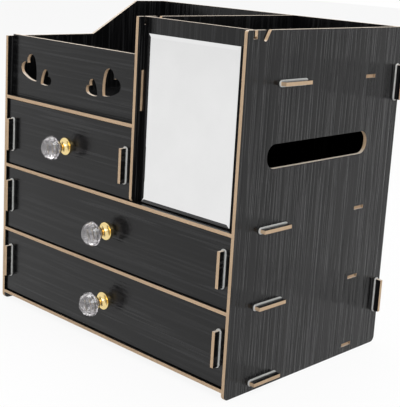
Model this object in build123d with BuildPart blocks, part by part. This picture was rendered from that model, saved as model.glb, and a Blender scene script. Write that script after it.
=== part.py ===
from build123d import *
from math import cos, radians, sin
import os

# Brush holder with drawers: a black board case with an open tray on the left, a shallow
# brush tray and a closed compartment on the right, a mirror board that lifts out, and
# three drawers with cut-glass knobs. Millimetres, +Z up, the front faces -Y.
# The origin is on the floor, under the middle of the box around the whole object.

os.makedirs("parts", exist_ok=True)

# Case
board = 3.0
case_width = 300.0
case_depth = 205.0
case_height = 291.0
low_side_rise = 55.4
slope_rear_low = 102.0
slope_rear_high = 45.0
front_corner = 5.0
rear_corner = 2.0
back_panel_inset = 4.5

# Heights: the bottom shelf's underside above the floor, the openings for the drawers, and
# the brush shelf's underside below the top
bottom_level = 6.2
lower_opening = 61.3
middle_opening = 60.25
upper_opening = 62.85
brush_drop = 42.4
brush_setback = 12.0

# Divider between the tray and the compartment
divider_offset = 179.0
divider_setback = 0.5
divider_low_corner = 3.5

# Tabs of the shelves and of the back panel, through the sides; the rear tabs of the
# shelves end inside the board, in slots that leave them some play behind
tab_out = 6.3
front_tab_start = 28.8
front_tab_length = 32.3
rear_tab_inset = 39.0
rear_tab_length = 12.0
rear_tab_play = 1.2
rear_tab_recess = 1.4
back_tab_low = 32.0
back_tab_drop = 33.0
back_tab_height = 30.0
divider_tenon_drop = 66.0
divider_tenon_height = 30.0

# Rings around the tabs that stand out
ring_width = 1.3
ring_height = 1.3
ring_corner = 2.7
ring_edge = 0.5

# Opening in the right side, into the compartment
slot_start = 31.9
slot_rear_inset = 42.0
slot_drop = 87.9
slot_height = 19.6
slot_corner = 9.0

# Notches for the mirror board: an upright one and one that leans back
notch_start = 6.9
notch_end = 11.3
notch_depth = 6.5
lean_notch_start = 20.5
lean_notch_depth = 8.4
lean_notch_width = 4.7
lean_notch_angle = 30.0

# Tray front with its heart openings
tray_front_setback = 6.0
tray_front_height = 56.9
tray_tab_rise = 11.0
tray_tab_height = 33.8
heart_large = 20.8
heart_small = 13.1
heart_large_lean = 40.4
heart_small_lean = 53.0
heart_middle = 86.8
heart_large_reach = 47.2
heart_small_reach = 40.3
heart_large_rise = 16.8
heart_small_rise = 15.7

# Mirror board and glass
mirror_setback = 8.0
mirror_side_gap = 0.3
mirror_rest_gap = 0.3
ear_height = 4.7
glass_side_margin = 7.2
glass_top_margin = 12.95
glass_rise = 1.0
glass_thickness = 3.0
glass_bevel = 3.0
glass_bevel_depth = 0.5

# Drawers
drawer_setback = 2.0
drawer_end_gap = 4.5
front_gap = 1.0
slide_gap = 0.3
side_top_gap = 8.0
side_inset = 5.4
back_inset = 6.0
floor_rise = 2.0
drawer_tab_out = 6.5
drawer_tab_height = 30.0
upper_tab_lift = -2.2
middle_tab_lift = 2.9
lower_tab_lift = 1.4
floor_tenon_length = 20.0
floor_tenon_start = 40.0
floor_tenon_end_inset = 43.0
back_tenon_height = 20.0

# Knobs
flange_diameter = 15.5
flange_height = 1.3
neck_diameter = 5.6
neck_out = 4.8
cup_diameter = 10.8
cup_height = 4.6
cup_rim = 1.0
crystal_sides = 10
crystal_diameter = 22.0
crystal_back_diameter = 10.8
crystal_pavilion = 5.6
crystal_girdle = 2.0
crystal_crown = 3.6
crystal_crown_diameter = 18.2
crystal_table = 2.4
crystal_table_diameter = 12.6
screw_diameter = 4.0
screw_play = 0.25
screw_depth = 6.5
screw_bore_extra = 0.6
screw_bore_play = 0.05
screw_head_diameter = 8.0
screw_head_height = 2.4
screw_recess_width = 1.2
screw_recess_length = 4.6
screw_recess_depth = 1.2

# Derived
crystal_length = crystal_pavilion + crystal_girdle + crystal_crown + crystal_table
knob_length = neck_out + cup_height + crystal_length
knob_reach = knob_length - drawer_setback
front = (knob_reach - case_depth) / 2
left = -case_width / 2
right = case_width / 2
inner_left = left + board
inner_right = right - board
divider_left = left + divider_offset
divider_right = divider_left + board
rear = front + case_depth
shelf_end = rear - back_panel_inset - board
lower_level = bottom_level + board + lower_opening
middle_level = lower_level + board + middle_opening
middle_floor = middle_level + board
tray_level = middle_floor + upper_opening
tray_floor = tray_level + board
brush_level = case_height - brush_drop
low_side_height = tray_floor + low_side_rise
rear_tab_end = rear - rear_tab_inset
slot_y = (front + slot_start, rear - slot_rear_inset)
slot_z = (case_height - slot_drop - slot_height, case_height - slot_drop)
back_tab_high = case_height - back_tab_drop - back_tab_height
divider_tenon_low = case_height - divider_tenon_drop - divider_tenon_height


def block(x, y, z, mode=Mode.ADD):
    """A box between the low and high values given for each axis."""
    middle = ((x[0] + x[1]) / 2, (y[0] + y[1]) / 2, (z[0] + z[1]) / 2)
    with Locations(middle):
        Box(x[1] - x[0], y[1] - y[0], z[1] - z[0], mode=mode)


def save(made, label):
    made.part.label = label
    export_step(made.part, f"parts/{label}.step")


def ring(plane, tab_u, tab_v):
    """The ring that lies around a tab at its foot; the plane's origin is the tab's middle."""
    with BuildPart() as made:
        with BuildSketch(plane):
            RectangleRounded(tab_u + 2 * ring_width, tab_v + 2 * ring_width, ring_corner)
        extrude(amount=ring_height)
        out = made.faces().sort_by(Axis(plane.origin, plane.z_dir))
        fillet(out[-1].edges() + out[0].edges(), ring_edge)
        with BuildSketch(plane):
            Rectangle(tab_u, tab_v)
        extrude(amount=ring_height, mode=Mode.SUBTRACT)
    return made.part


def heart(point, size, lean, depth):
    """A heart prism with its point at the given place; size is from point to notch, and
    lean is how far it tips to the left, in degrees."""
    upright = (cos(radians(lean)), 0, sin(radians(lean)))
    plane = Plane(origin=point, x_dir=upright, z_dir=(0, -1, 0))
    lobe = size * 0.298
    spread = size * 0.283
    rise = size * 0.907
    shoulder = (spread + lobe * 0.92, rise - lobe * 0.39)
    crest = (spread + lobe * 0.42, rise + lobe * 0.9075)
    notch = rise + (lobe**2 - spread**2) ** 0.5
    with BuildPart() as made:
        with BuildSketch(plane):
            with BuildLine():
                ThreePointArc((0, notch), crest, shoulder)
                RadiusArc(shoulder, (0, 0), size * 1.9)
                RadiusArc((0, 0), (-shoulder[0], shoulder[1]), size * 1.9)
                ThreePointArc((-shoulder[0], shoulder[1]), (-crest[0], crest[1]), (0, notch))
            make_face()
        extrude(amount=depth, both=True)
    return made.part


# The notches and shelf slots that a side or the divider carries are cut in the panel's own
# block; x is the low and high face of that panel.
def cut_mirror_notches(x):
    """The upright notch, and the round-ended one that leans back."""
    y = (front + notch_start, front + notch_end)
    block(x, y, (case_height - notch_depth, case_height + 1), Mode.SUBTRACT)
    round_z = case_height - lean_notch_depth + lean_notch_width / 2
    middle = ((x[0] + x[1]) / 2, front + lean_notch_start, round_z)
    with Locations(Location(middle, (-lean_notch_angle, 0, 0))):
        Box(
            x[1] - x[0],
            lean_notch_width,
            3 * lean_notch_width,
            align=(Align.CENTER, Align.CENTER, Align.MIN),
            mode=Mode.SUBTRACT,
        )
        Cylinder(
            lean_notch_width / 2,
            x[1] - x[0],
            rotation=(0, 90, 0),
            mode=Mode.SUBTRACT,
        )


def cut_shelf_slots(x, levels):
    """Slots for the front and rear tabs of the shelves at the given levels and starts."""
    for level, start in levels:
        z = (level, level + board)
        block(x, (front + start, front + start + front_tab_length), z, Mode.SUBTRACT)
        rear_y = (rear_tab_end - rear_tab_length, rear_tab_end + rear_tab_play)
        block(x, rear_y, z, Mode.SUBTRACT)


def cut_back_slots(x):
    for low in (back_tab_low, back_tab_high):
        y = (shelf_end, shelf_end + board)
        block(x, y, (low, low + back_tab_height), Mode.SUBTRACT)


brush_tab_start = front_tab_start + brush_setback
left_levels = [
    (bottom_level, front_tab_start),
    (lower_level, front_tab_start),
    (middle_level, front_tab_start),
    (tray_level, front_tab_start),
]
right_levels = [
    (bottom_level, front_tab_start),
    (lower_level, front_tab_start),
    (middle_level, front_tab_start),
    (brush_level, brush_tab_start),
]
tray_front_y = (front + tray_front_setback, front + tray_front_setback + board)
tray_tab_z = (tray_floor + tray_tab_rise, tray_floor + tray_tab_rise + tray_tab_height)

# Left side: low in front of the tray, then sloping up to the full height
with BuildPart() as left_side_panel:
    with BuildSketch(Plane.YZ.offset(left)) as left_outline:
        with BuildLine():
            Polyline(
                (front, 0),
                (rear, 0),
                (rear, case_height),
                (rear - slope_rear_high, case_height),
                (rear - slope_rear_low, low_side_height),
                (front, low_side_height),
                close=True,
            )
        make_face()
        corners = left_outline.vertices()
        fillet(corners.group_by(Axis.Y)[0], front_corner)
        fillet(left_outline.vertices().group_by(Axis.Y)[-1], rear_corner)
    extrude(amount=board)
    cut_shelf_slots((left, inner_left), left_levels)
    cut_back_slots((left, inner_left))
    block((left, inner_left), tray_front_y, tray_tab_z, Mode.SUBTRACT)
save(left_side_panel, "left_side_panel")

# Right side: full height, with the long opening and the two mirror notches
with BuildPart() as right_side_panel:
    with BuildSketch(Plane.YZ.offset(inner_right)) as right_outline:
        with Locations((front + case_depth / 2, case_height / 2)):
            Rectangle(case_depth, case_height)
        fillet(right_outline.vertices().group_by(Axis.Y)[0], front_corner)
        fillet(right_outline.vertices().group_by(Axis.Y)[-1], rear_corner)
        with Locations(((slot_y[0] + slot_y[1]) / 2, (slot_z[0] + slot_z[1]) / 2)):
            RectangleRounded(
                slot_y[1] - slot_y[0],
                slot_height,
                slot_corner,
                mode=Mode.SUBTRACT,
            )
    extrude(amount=board)
    cut_shelf_slots((inner_right, right), right_levels)
    cut_back_slots((inner_right, right))
    cut_mirror_notches((inner_right, right))
save(right_side_panel, "right_side_panel")

# Back panel between the sides, with tabs through both of them
with BuildPart() as back_panel:
    back_y = (shelf_end, shelf_end + board)
    block((inner_left, inner_right), back_y, (0, case_height))
    for low in (back_tab_low, back_tab_high):
        tab_z = (low, low + back_tab_height)
        block((left - tab_out, inner_left), back_y, tab_z)
        block((inner_right, right + tab_out), back_y, tab_z)
    tenon_z = (divider_tenon_low, divider_tenon_low + divider_tenon_height)
    block((divider_left, divider_right), back_y, tenon_z, Mode.SUBTRACT)
save(back_panel, "back_panel")

# Divider: stands on the middle shelf and carries one end of the tray front and mirror
with BuildPart() as divider_panel:
    with BuildSketch(Plane.YZ.offset(divider_left)) as divider_outline:
        with BuildLine():
            Polyline(
                (front + divider_setback, middle_floor),
                (shelf_end, middle_floor),
                (shelf_end, case_height),
                (front + divider_setback, case_height),
                close=True,
            )
        make_face()
        front_corners = divider_outline.vertices().group_by(Axis.Y)[0].sort_by(Axis.Z)
        fillet(front_corners[0], divider_low_corner)
        top_front = divider_outline.vertices().sort_by_distance(
            (divider_left, front + divider_setback, case_height)
        )
        fillet(top_front[0], front_corner)
    extrude(amount=board)
    block((divider_left, divider_right), (shelf_end, shelf_end + board), tenon_z)
    divider_x = (divider_left, divider_right)
    cut_shelf_slots(divider_x, [(tray_level, front_tab_start), (brush_level, brush_tab_start)])
    block(divider_x, tray_front_y, tray_tab_z, Mode.SUBTRACT)
    cut_mirror_notches(divider_x)
save(divider_panel, "divider_panel")


def shelf(label, x, level, setback, start, left_out, right_out):
    """A shelf with a front and a rear tab at each end; the front ones may stand out."""
    z = (level, level + board)
    front_tab_y = (front + start, front + start + front_tab_length)
    rear_tab_y = (rear_tab_end - rear_tab_length, rear_tab_end)
    rear_tab_out = board - rear_tab_recess
    with BuildPart() as made:
        block(x, (front + setback, shelf_end), z)
        block((x[0] - board - left_out, x[0]), front_tab_y, z)
        block((x[1], x[1] + board + right_out), front_tab_y, z)
        block((x[0] - rear_tab_out, x[0]), rear_tab_y, z)
        block((x[1], x[1] + rear_tab_out), rear_tab_y, z)
    save(made, label)


case_x = (inner_left, inner_right)
shelf("bottom_shelf", case_x, bottom_level, 0, front_tab_start, tab_out, tab_out)
shelf("lower_shelf", case_x, lower_level, 0, front_tab_start, tab_out, tab_out)
shelf("middle_shelf", case_x, middle_level, 0, front_tab_start, tab_out, tab_out)
tray_x = (inner_left, divider_left)
shelf("tray_shelf", tray_x, tray_level, 0, front_tab_start, tab_out, 0)
brush_x = (divider_right, inner_right)
shelf("upper_shelf", brush_x, brush_level, brush_setback, brush_tab_start, 0, tab_out)

# Front of the open tray, with two pairs of leaning hearts cut through it


def heart_at(offset, rise, size, lean):
    """The cutter for one heart whose point is offset from the left side's outer face."""
    middle_y = (tray_front_y[0] + tray_front_y[1]) / 2
    return heart((left + offset, middle_y, tray_floor + rise), size, lean, board)


hearts = [
    heart_at(heart_middle - heart_large_reach, heart_large_rise, heart_large, heart_large_lean),
    heart_at(heart_middle + heart_large_reach, heart_large_rise, heart_large, -heart_large_lean),
    heart_at(heart_middle - heart_small_reach, heart_small_rise, heart_small, -heart_small_lean),
    heart_at(heart_middle + heart_small_reach, heart_small_rise, heart_small, heart_small_lean),
]
with BuildPart() as tray_front_panel:
    block(tray_x, tray_front_y, (tray_floor, tray_floor + tray_front_height))
    block((left, inner_left), tray_front_y, tray_tab_z)
    block((divider_left, divider_right), tray_front_y, tray_tab_z)
    for shape in hearts:
        add(shape, mode=Mode.SUBTRACT)
save(tray_front_panel, "tray_front_panel")


# Rings around the tabs that stand out of each side
def side_rings(label, x, outward, shelves):
    rings = []
    for level, start in shelves:
        middle = front + start + front_tab_length / 2
        at_tab = Plane(origin=(x, middle, level + board / 2), x_dir=(0, 1, 0), z_dir=outward)
        rings.append(ring(at_tab, front_tab_length, board))
    for low in (back_tab_low, back_tab_high):
        middle = (x, shelf_end + board / 2, low + back_tab_height / 2)
        at_tab = Plane(origin=middle, x_dir=(0, 1, 0), z_dir=outward)
        rings.append(ring(at_tab, board, back_tab_height))
    with BuildPart() as made:
        for one in rings:
            add(one)
    save(made, label)


side_rings("left_tab_rings", left, (-1, 0, 0), left_levels)
side_rings("right_tab_rings", right, (1, 0, 0), right_levels)

# Mirror board with the ears that hang in the upright notches, and its bevelled glass
board_low = middle_floor + mirror_rest_gap
board_x = (divider_right + mirror_side_gap, inner_right - mirror_side_gap)
board_y = (front + mirror_setback, front + mirror_setback + board)
with BuildPart() as mirror_board:
    block(board_x, board_y, (board_low, case_height))
    block((divider_left, right), board_y, (case_height - ear_height, case_height))
save(mirror_board, "mirror_board")

glass_width = board_x[1] - board_x[0] - 2 * glass_side_margin
glass_low = board_low + glass_rise
glass_height = case_height - glass_top_margin - glass_low
glass_middle = ((board_x[0] + board_x[1]) / 2, glass_low + glass_height / 2)
with BuildPart() as mirror_glass:
    with BuildSketch(Plane.XZ.offset(-board_y[0])):
        with Locations(glass_middle):
            Rectangle(glass_width, glass_height)
    extrude(amount=glass_thickness - glass_bevel_depth)
    with BuildSketch(Plane.XZ.offset(-board_y[0] + glass_thickness - glass_bevel_depth)):
        with Locations(glass_middle):
            Rectangle(glass_width, glass_height)
    with BuildSketch(Plane.XZ.offset(-board_y[0] + glass_thickness)):
        with Locations(glass_middle):
            Rectangle(glass_width - 2 * glass_bevel, glass_height - 2 * glass_bevel)
    loft(ruled=True)
save(mirror_glass, "mirror_glass")


def drawer(name, opening_x, opening_z, tab_lift):
    """One drawer with its knob, in the opening between the given faces of the case; its
    tabs' middle is tab_lift above the middle of its front."""
    outer_y = front + drawer_setback
    front_y = (outer_y, outer_y + board)
    front_x = (opening_x[0] + front_gap, opening_x[1] - front_gap)
    front_z = (opening_z[0] + front_gap, opening_z[1] - front_gap)
    left_x = (front_x[0] + side_inset, front_x[0] + side_inset + board)
    right_x = (front_x[1] - side_inset - board, front_x[1] - side_inset)
    inner_x = (left_x[1], right_x[0])
    side_low = opening_z[0] + slide_gap
    side_z = (side_low, opening_z[1] - side_top_gap)
    end_y = shelf_end - drawer_end_gap
    back_y = (end_y - back_inset - board, end_y - back_inset)
    floor_z = (side_low + floor_rise, side_low + floor_rise + board)
    tab_low = (front_z[0] + front_z[1] - drawer_tab_height) / 2 + tab_lift
    tab_z = (tab_low, tab_low + drawer_tab_height)
    back_tenon_low = (floor_z[1] + side_z[1] - back_tenon_height) / 2
    back_tenon_z = (back_tenon_low, back_tenon_low + back_tenon_height)
    floor_tenon_starts = (
        front + floor_tenon_start,
        end_y - floor_tenon_end_inset - floor_tenon_length,
    )
    knob_middle = ((opening_x[0] + opening_x[1]) / 2, outer_y, (opening_z[0] + opening_z[1]) / 2)
    outward = Plane(origin=knob_middle, x_dir=(1, 0, 0), z_dir=(0, -1, 0))
    profile = Plane(origin=knob_middle, x_dir=(0, -1, 0), z_dir=(-1, 0, 0))
    knob_axis = Axis(knob_middle, (0, -1, 0))

    with BuildPart() as drawer_front:
        block(front_x, front_y, front_z)
        block(left_x, front_y, tab_z, Mode.SUBTRACT)
        block(right_x, front_y, tab_z, Mode.SUBTRACT)
        with BuildSketch(outward):
            Circle(screw_diameter / 2 + screw_play)
        extrude(amount=-board, mode=Mode.SUBTRACT)
    save(drawer_front, f"{name}_drawer_front")

    for side, x in (("left", left_x), ("right", right_x)):
        with BuildPart() as drawer_side:
            block(x, (front_y[1], end_y), side_z)
            block(x, (outer_y - drawer_tab_out, front_y[1]), tab_z)
            block(x, back_y, back_tenon_z, Mode.SUBTRACT)
            for start in floor_tenon_starts:
                block(x, (start, start + floor_tenon_length), floor_z, Mode.SUBTRACT)
        save(drawer_side, f"{name}_drawer_{side}_side")

    with BuildPart() as drawer_back:
        block(inner_x, back_y, (floor_z[0], side_z[1]))
        block((left_x[0], right_x[1]), back_y, back_tenon_z)
    save(drawer_back, f"{name}_drawer_back")

    with BuildPart() as drawer_floor:
        block(inner_x, (front_y[1], back_y[0]), floor_z)
        for start in floor_tenon_starts:
            tenon_y = (start, start + floor_tenon_length)
            block((left_x[0], right_x[1]), tenon_y, floor_z)
    save(drawer_floor, f"{name}_drawer_floor")

    rings = []
    for x in (left_x, right_x):
        middle = ((x[0] + x[1]) / 2, outer_y, (tab_z[0] + tab_z[1]) / 2)
        at_tab = Plane(origin=middle, x_dir=(1, 0, 0), z_dir=(0, -1, 0))
        rings.append(ring(at_tab, board, drawer_tab_height))
    with BuildPart() as drawer_rings:
        for one in rings:
            add(one)
    save(drawer_rings, f"{name}_drawer_rings")

    # Brass base: a flange, a narrow neck and a flared cup, drilled from behind for the screw
    flange_radius = flange_diameter / 2
    neck_radius = neck_diameter / 2
    cup_radius = cup_diameter / 2
    with BuildPart() as knob_base:
        with BuildSketch(profile):
            with BuildLine():
                Polyline((0, 0), (0, flange_radius), (flange_height, flange_radius))
                ThreePointArc(
                    (flange_height, flange_radius),
                    (neck_out * 0.45, (flange_radius + neck_radius) * 0.41),
                    (neck_out, neck_radius),
                )
                ThreePointArc(
                    (neck_out, neck_radius),
                    (neck_out + cup_height * 0.42, neck_radius + (cup_radius - neck_radius) * 0.3),
                    (neck_out + cup_height - cup_rim, cup_radius),
                )
                Polyline(
                    (neck_out + cup_height - cup_rim, cup_radius),
                    (neck_out + cup_height, cup_radius),
                    (neck_out + cup_height, 0),
                    (0, 0),
                )
            make_face()
        revolve(axis=knob_axis)
        with BuildSketch(outward):
            Circle(screw_diameter / 2 + screw_bore_play)
        extrude(amount=screw_depth + screw_bore_extra, mode=Mode.SUBTRACT)
    save(knob_base, f"{name}_knob_base")

    # Cut glass: two stacks of tapered prisms, one turned half a side, crossed for facets
    stacks = []
    for turn, grow in ((0, 1.0), (180 / crystal_sides, 1.02)):
        stone = outward.offset(neck_out + cup_height)
        pavilion_end = crystal_pavilion + (grow - 1) * 12
        crown_start = crystal_pavilion + crystal_girdle - (grow - 1) * 12
        crown_end = crystal_pavilion + crystal_girdle + crystal_crown
        sections = [
            (0, crystal_back_diameter * grow),
            (pavilion_end, crystal_diameter),
            (crown_start, crystal_diameter),
            (crown_end, crystal_crown_diameter * grow),
            (crystal_length, crystal_table_diameter * grow),
        ]
        with BuildPart() as stack:
            for low, high in zip(sections, sections[1:]):
                with BuildSketch(stone.offset(low[0])):
                    RegularPolygon(low[1] / 2, crystal_sides, rotation=turn)
                with BuildSketch(stone.offset(high[0])):
                    RegularPolygon(high[1] / 2, crystal_sides, rotation=turn)
                loft(ruled=True)
        stacks.append(stack.part)
    with BuildPart() as knob_crystal:
        add(stacks[0])
        add(stacks[1], mode=Mode.INTERSECT)
    save(knob_crystal, f"{name}_knob_crystal")

    # Screw from inside the drawer
    with BuildPart() as knob_screw:
        with BuildSketch(outward.offset(-board)):
            Circle(screw_diameter / 2)
        extrude(amount=board + screw_depth)
        with BuildSketch(outward.offset(-board)):
            Circle(screw_head_diameter / 2)
        extrude(amount=-screw_head_height)
        head = knob_screw.faces().sort_by(Axis.Y)[-1]
        fillet(head.edges(), screw_head_height * 0.4)
        with BuildSketch(outward.offset(-board - screw_head_height)):
            Rectangle(screw_recess_length, screw_recess_width)
            Rectangle(screw_recess_width, screw_recess_length)
        extrude(amount=screw_recess_depth, mode=Mode.SUBTRACT)
    save(knob_screw, f"{name}_knob_screw")


tray_opening = (inner_left, divider_left)
drawer("upper", tray_opening, (middle_floor, tray_level), upper_tab_lift)
drawer("middle", case_x, (lower_level + board, middle_level), middle_tab_lift)
drawer("lower", case_x, (bottom_level + board, lower_level), lower_tab_lift)
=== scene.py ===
import bpy
from mathutils import Matrix, Vector

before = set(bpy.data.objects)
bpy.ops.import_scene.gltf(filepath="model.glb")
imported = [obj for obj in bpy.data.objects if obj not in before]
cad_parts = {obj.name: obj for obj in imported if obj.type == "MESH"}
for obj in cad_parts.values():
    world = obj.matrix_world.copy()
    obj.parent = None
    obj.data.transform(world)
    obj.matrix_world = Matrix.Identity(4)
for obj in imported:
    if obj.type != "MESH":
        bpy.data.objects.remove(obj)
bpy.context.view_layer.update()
print("frame loaded:", len(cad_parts), "nodes")


class Sock:  # a node's output that can stand in plain arithmetic
    def __init__(self, tree, socket):
        self.tree, self.socket = tree, socket

    def maths(self, kind, other=0.0, swap=False):
        pair = (other, self) if swap else (self, other)
        return self.tree.add("ShaderNodeMath", {"operation": kind}, dict(enumerate(pair)))

    def __add__(self, other):
        return self.maths("ADD", other)

    def __sub__(self, other):
        return self.maths("SUBTRACT", other)

    def __mul__(self, other):
        return self.maths("MULTIPLY", other)

    def __radd__(self, other):
        return self.maths("ADD", other, True)

    def __rsub__(self, other):
        return self.maths("SUBTRACT", other, True)

    def __rmul__(self, other):
        return self.maths("MULTIPLY", other, True)

    def size(self):  # without its sign
        return self.maths("ABSOLUTE")

    def above(self, level):
        return self.maths("GREATER_THAN", level)

    def most(self, other):
        return self.maths("MAXIMUM", other)

    # 0 up to the first value, 1 from the second, and a soft run from one to the other
    def between(self, low, high):
        return self.tree.add("ShaderNodeMapRange", {"interpolation_type": "SMOOTHSTEP"},
                             {"Value": self, "From Min": low, "From Max": high})


class Finish:  # the node tree of a material or of the world
    def __init__(self, name, world=False):
        self.owner = (bpy.data.worlds if world else bpy.data.materials).new(name)
        self.owner.use_nodes = True
        self.nodes, self.links = self.owner.node_tree.nodes, self.owner.node_tree.links
        self.nodes.clear()

    def add(self, kind, settings={}, sockets={}, out=0):
        node = self.nodes.new(kind)
        for key, value in settings.items():
            setattr(node, key, value)
        for key, value in sockets.items():
            if isinstance(value, Sock):
                self.links.new(value.socket, node.inputs[key])
            else:
                node.inputs[key].default_value = value
        return Sock(self, node.outputs[out]) if node.outputs else None

    def mix(self, amount, low, high):  # sockets 6 and 7 and output 2 are the colours
        return self.add("ShaderNodeMix", {"data_type": "RGBA"}, {0: amount, 6: low, 7: high}, 2)

    def place(self, kind="Object"):
        return self.add("ShaderNodeTexCoord", {}, {}, kind)

    def part(self, vector, axis):
        return self.add("ShaderNodeSeparateXYZ", {}, {"Vector": vector}, axis)

    # noise of a given spacing along each axis, in metres
    def noise(self, place, spacing, detail=2.0, wave=0.0):
        scale = [1 / s for s in spacing] if isinstance(spacing, tuple) else [1 / spacing] * 3
        pulled = self.add("ShaderNodeVectorMath", {"operation": "MULTIPLY"}, {0: place, 1: scale})
        return self.add("ShaderNodeTexNoise", {}, {"Vector": pulled, "Scale": 1.0, "Detail": detail,
                                                   "Distortion": wave})

    def surface(self, sockets):
        shader = self.add("ShaderNodeBsdfPrincipled", {}, sockets)
        return self.close("ShaderNodeOutputMaterial", shader)

    def close(self, kind, shader):
        self.add(kind, {}, {"Surface": shader})
        return self.owner

    # 1 for the rays that should see the backdrop: the camera's, and those of metal and glass
    def backdropRays(self):
        camera, glossy, through = [self.add("ShaderNodeLightPath", {}, {}, f"Is {kind} Ray")
                                   for kind in ("Camera", "Glossy", "Transmission")]
        return camera.most(glossy).most(through)


def linear(red, green=None, blue=None):  # from the 0-255 values of a picture
    def one(v):
        v = v / 255
        return v / 12.92 if v <= 0.04045 else ((v + 0.055) / 1.055) ** 2.4
    values = (red, red, red) if green is None else (red, green, blue)
    return (*[one(v) for v in values], 1.0)


def dress(material, *names):
    for name in names:
        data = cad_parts[name].data
        data.materials.clear()
        data.materials.append(material)


# Boards: glossy black wood-grain faces, bare fibreboard on every cut edge, and a painted highlight
# on the cut edges that face up. Lengths are in metres. A range runs from where its noise begins to
# count to where it counts in full, and a pore outside the wider bands still shows by outsideBand.
boardLook = dict(
    dark=linear(10, 10, 11), streak=linear(38, 38, 39), roughness=0.2, specular=0.3,
    poreAcross=0.0024, poreAlong=0.12, poreWave=0.25, poreRange=(0.46, 0.66),
    bandAcross=0.012, bandAlong=0.3, bandWave=0.3, bandRange=(0.35, 0.7), outsideBand=0.35,
    # the lighter edge colour for the tops is a painted highlight on the edges that face up
    edge=linear(205, 178, 148), edgeDark=linear(162, 136, 110), edgeTopHighlight=linear(214, 205, 194),
    edgeRoughness=0.85, fibre=0.0012, fibreShare=0.5, layer=0.02, layerShare=0.3,
    faceFrom=0.7, upHighlightRange=(0.5, 0.9), upHighlightShare=0.7,
)


# thin is the axis through the board, along is the grain's, and relief the depth of its pores
def boardFinish(name, thin, along, relief):
    look = boardLook
    finish = Finish(name)
    place, normal = finish.place(), finish.place("Normal")
    face = finish.part(normal, thin).size().above(look["faceFrom"])

    def grain(kind):
        across, length = look[kind + "Across"], look[kind + "Along"]
        spacing = tuple(length if axis == along else across for axis in "XYZ")
        return finish.noise(place, spacing, 2.0, look[kind + "Wave"]).between(*look[kind + "Range"])

    pores = grain("pore")
    streaks = pores * (look["outsideBand"] + (1.0 - look["outsideBand"]) * grain("band"))
    laminate = finish.mix(streaks, look["dark"], look["streak"])
    fibres = finish.noise(place, look["fibre"], 3.0)
    layers = finish.noise(place, look["layer"], 1.0)
    stain = fibres * look["fibreShare"] + layers * look["layerShare"]
    bare = finish.mix(stain, look["edge"], look["edgeDark"])
    # edges that face up are mixed towards a lighter colour: a painted highlight for the light from
    # above
    up = finish.part(normal, "Z").between(*look["upHighlightRange"])
    bare = finish.mix(up * look["upHighlightShare"], bare, look["edgeTopHighlight"])
    rough = face * (look["roughness"] - look["edgeRoughness"]) + look["edgeRoughness"]
    height = (1.0 - pores) * face + fibres * (1.0 - face)
    dents = finish.add("ShaderNodeBump", {},
                       {"Strength": 1.0, "Distance": relief, "Height": height})
    return finish.surface({"Base Color": finish.mix(face, bare, laminate), "Roughness": rough,
                           "Normal": dents, "Specular IOR Level": look["specular"]})


drawers = ("upper", "middle", "lower")
boards = {
    ("upright grain, sides", "X", "Z", 0.0004): [
        "left_side_panel", "right_side_panel", "divider_panel"],
    ("upright grain, front", "Y", "Z", 0.0001): ["back_panel", "mirror_board"],
    ("level grain, front", "Y", "X", 0.00008): ["tray_front_panel"] + [
        f"{drawer}_drawer_{end}" for drawer in drawers for end in ("front", "back")],
    ("drawer sides", "X", "Y", 0.0001): [
        f"{drawer}_drawer_{side}_side" for drawer in drawers for side in ("left", "right")],
    ("shelves", "Z", "X", 0.0001): [
        f"{shelf}_shelf" for shelf in ("bottom", "lower", "middle", "tray", "upper")] + [
        f"{drawer}_drawer_floor" for drawer in drawers],
}
for (name, thin, along, relief), pieces in boards.items():
    dress(boardFinish("black board, " + name, thin, along, relief), *pieces)
print("boards dressed:", sum(len(pieces) for pieces in boards.values()))

# Rings, mirror, brass and screws: spacing is the size of the clouds in the surface, in metres,
# and spread is how much rougher they make it
ringLook = dict(colour=linear(206, 206, 203), dull=linear(172, 172, 170), roughness=0.3,
                metal=0.0, spacing=0.004, detail=3.0, spread=0.15)
mirrorLook = dict(colour=linear(236, 236, 236), dull=linear(227, 227, 227), roughness=0.02,
                  metal=1.0, spacing=0.03, detail=4.0, spread=0.03)
brassLook = dict(colour=linear(246, 224, 164), dull=linear(230, 202, 136), roughness=0.12,
                 metal=1.0, spacing=0.0016, detail=4.0, spread=0.14)
screwLook = dict(colour=linear(196, 196, 198), dull=linear(160, 160, 164), roughness=0.25,
                 metal=1.0, spacing=0.001, detail=4.0, spread=0.14)


def cloudedFinish(name, look):
    finish = Finish(name)
    cloud = finish.noise(finish.place(), look["spacing"], look["detail"])
    return finish.surface({"Base Color": finish.mix(cloud, look["colour"], look["dull"]),
                           "Metallic": look["metal"],
                           "Roughness": cloud * look["spread"] + look["roughness"]})


sideRings = ["left_tab_rings", "right_tab_rings"]
dress(cloudedFinish("grey ring", ringLook), *sideRings, *[d + "_drawer_rings" for d in drawers])
dress(cloudedFinish("silvered glass", mirrorLook), "mirror_glass")
dress(cloudedFinish("polished brass", brassLook), *[d + "_knob_base" for d in drawers])
dress(cloudedFinish("plated screw", screwLook), *[d + "_knob_screw" for d in drawers])

# Cut glass: clear is the share that lets light through, facet the spacing of the painted highlight
# and shade tones
crystalLook = dict(facetHighlight=linear(252, 250, 250), facetShade=linear(196, 190, 194), facet=0.25,
                   facetRange=(0.4, 0.6), roughness=0.01, spread=0.03, spacing=0.006,
                   ior=1.6, clear=0.86)


def crystalFinish():
    look = crystalLook
    finish = Finish("cut glass")
    # each flat facet faces its own way, so noise on the normal gives it its own tone: a painted
    # highlight on some facets and painted shade on others
    facet = finish.noise(finish.place("Normal"), look["facet"], 0.0).between(*look["facetRange"])
    cloud = finish.noise(finish.place(), look["spacing"])
    return finish.surface({"Base Color": finish.mix(facet, look["facetHighlight"], look["facetShade"]),
                           "Roughness": cloud * look["spread"] + look["roughness"],
                           "IOR": look["ior"], "Transmission Weight": look["clear"]})


dress(crystalFinish(), *[d + "_knob_crystal" for d in drawers])
print("rings, mirror and knobs dressed")

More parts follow.
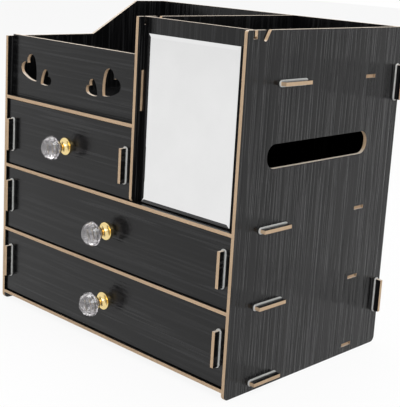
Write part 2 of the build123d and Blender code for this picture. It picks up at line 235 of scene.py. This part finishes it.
# Floor and backdrop: the camera, metal and glass all see the same white. On the floor it has
# the share direct, and the rest stays plain so that it keeps the object's shadow. The sky's
# strength is for all other rays, and reach is half the floor's width in metres.
studio = dict(floor=linear(232), white=(1, 1, 1, 1), direct=0.9, sky=0.42, reach=6.0)


def floorFinish():
    finish = Finish("pale floor")
    plain = finish.add("ShaderNodeBsdfDiffuse", {}, {"Color": studio["floor"]})
    lit = finish.add("ShaderNodeEmission", {}, {"Color": studio["white"], "Strength": 1.0})
    amount = finish.backdropRays() * studio["direct"]
    both = finish.add("ShaderNodeMixShader", {}, {0: amount, 1: plain, 2: lit})
    return finish.close("ShaderNodeOutputMaterial", both)


floorMesh = bpy.data.meshes.new("floor")
corners = [(x * studio["reach"], y * studio["reach"], 0)
           for x, y in ((-1, -1), (1, -1), (1, 1), (-1, 1))]
floorMesh.from_pydata(corners, [], [(0, 1, 2, 3)])
floorMesh.materials.append(floorFinish())
floor = bpy.data.objects.new("floor", floorMesh)
bpy.context.scene.collection.objects.link(floor)


def worldFinish():
    finish = Finish("studio", world=True)
    strength = finish.backdropRays() * (1.0 - studio["sky"]) + studio["sky"]
    sky = finish.add("ShaderNodeBackground", {}, {"Color": studio["white"], "Strength": strength})
    return finish.close("ShaderNodeOutputWorld", sky)


bpy.context.scene.world = worldFinish()

# Lamps: places and widths in metres, all aimed at one point. The fill is kept out of glossy
# rays, because the mirror's upper bevel would show it as a white band.
lampAim = Vector((0, 0, 0.15))
lamps = dict(
    key=dict(place=(1.3, -0.9, 1.5), width=1.2, watts=20, inGloss=True),
    fill=dict(place=(-1.4, -1.3, 1.2), width=1.4, watts=8, inGloss=False),
    top=dict(place=(0.0, 0.3, 1.9), width=1.2, watts=22, inGloss=True),
)
for name, lamp in lamps.items():
    data = bpy.data.lights.new(name, "AREA")
    data.shape, data.size, data.energy = "SQUARE", lamp["width"], lamp["watts"]
    holder = bpy.data.objects.new(name, data)
    bpy.context.scene.collection.objects.link(holder)
    holder.location = lamp["place"]
    holder.visible_glossy = lamp["inGloss"]
    aim = lampAim - Vector(lamp["place"])
    holder.rotation_euler = aim.to_track_quat("-Z", "Y").to_euler()
print("floor, backdrop and lamps set")

# Camera: its place in metres, its focal length and the picture's longer side in pixels, the
# sensor's width in millimetres, and the three directions that it's turned by
view = dict(place=(0.62972, -0.63614, 0.34503), focal=993.6, picture=407, sensor=36.0,
            shift=-0.08, right=(0.713369, 0.698498, 0.056606),
            up=(-0.190644, 0.115704, 0.974817), back=(0.674358, -0.706196, 0.215704))
cameraData = bpy.data.cameras.new("camera")
cameraData.sensor_width = view["sensor"]
cameraData.lens = view["focal"] / view["picture"] * view["sensor"]
cameraData.shift_y = view["shift"]
camera = bpy.data.objects.new("camera", cameraData)
bpy.context.scene.collection.objects.link(camera)
turn = Matrix((view["right"], view["up"], view["back"])).transposed().to_4x4()
camera.matrix_world = Matrix.Translation(view["place"]) @ turn
bpy.context.scene.camera = camera
bpy.context.scene.view_settings.view_transform = "Standard"
print("camera set")
